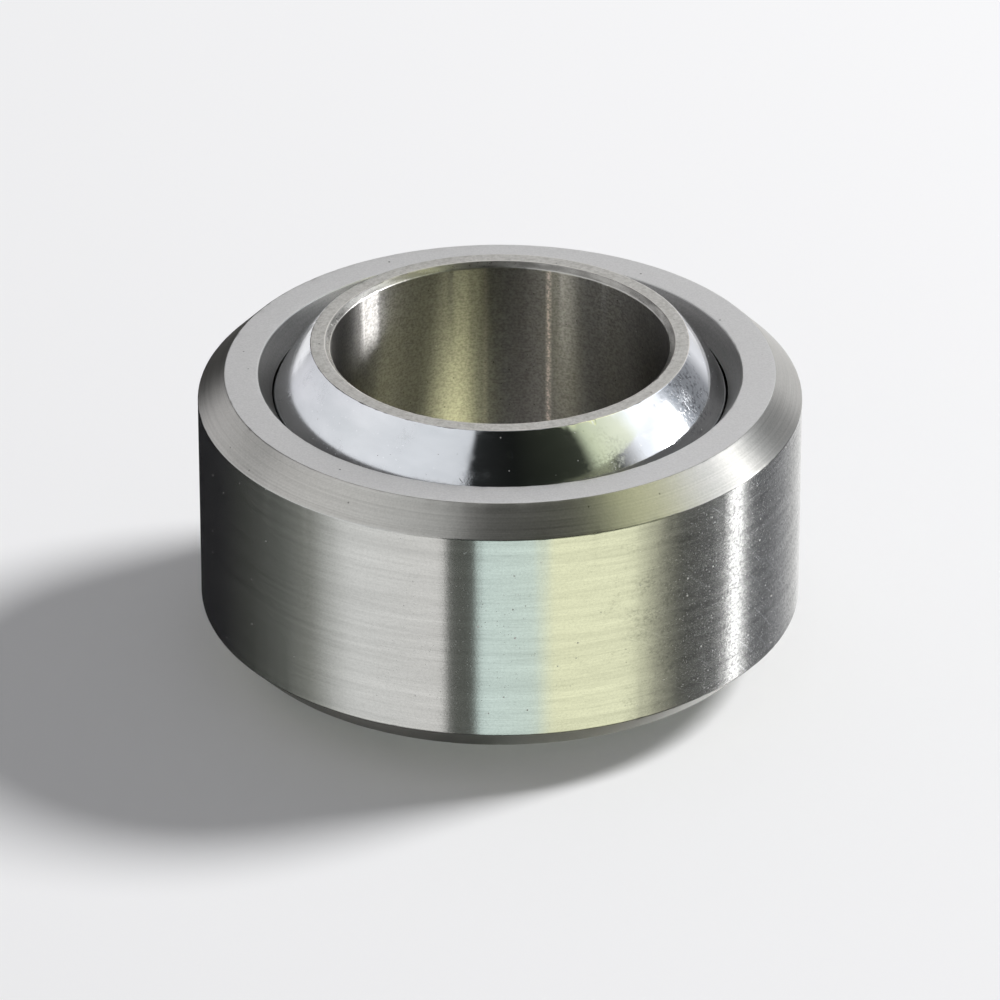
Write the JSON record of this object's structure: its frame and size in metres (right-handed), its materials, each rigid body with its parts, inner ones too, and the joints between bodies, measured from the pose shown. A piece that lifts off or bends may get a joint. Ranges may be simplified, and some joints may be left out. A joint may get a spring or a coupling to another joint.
{
  "type": "spherical plain bearing",
  "caption": "Metal-to-metal spherical plain bearing: a polished bored ball that tilts in a chamfered steel outer ring.",
  "frame": {"origin": "centre of the sphere, which is also the middle of the bore", "axes": "+Z along the bore axis; the two ends are alike, and the bearing stands on the ball's lower end face"},
  "size_m": [0.0396, 0.0396, 0.0222],
  "materials": {
    "ball": "polished sphere, ground ends and bore",
    "outer_ring": "turned and ground"
  },
  "bodies": {
    "ball": {"ball": "ball"},
    "outer_ring": {"outer_ring": "outer_ring"}
  },
  "joints": [
    {"name": "ring_tilt", "type": "hinge", "parent": "ball", "child": "outer_ring", "pos_m": [0, 0, 0], "axis": [1, 0, 0], "range_deg": [-7, 7]}
  ]
}
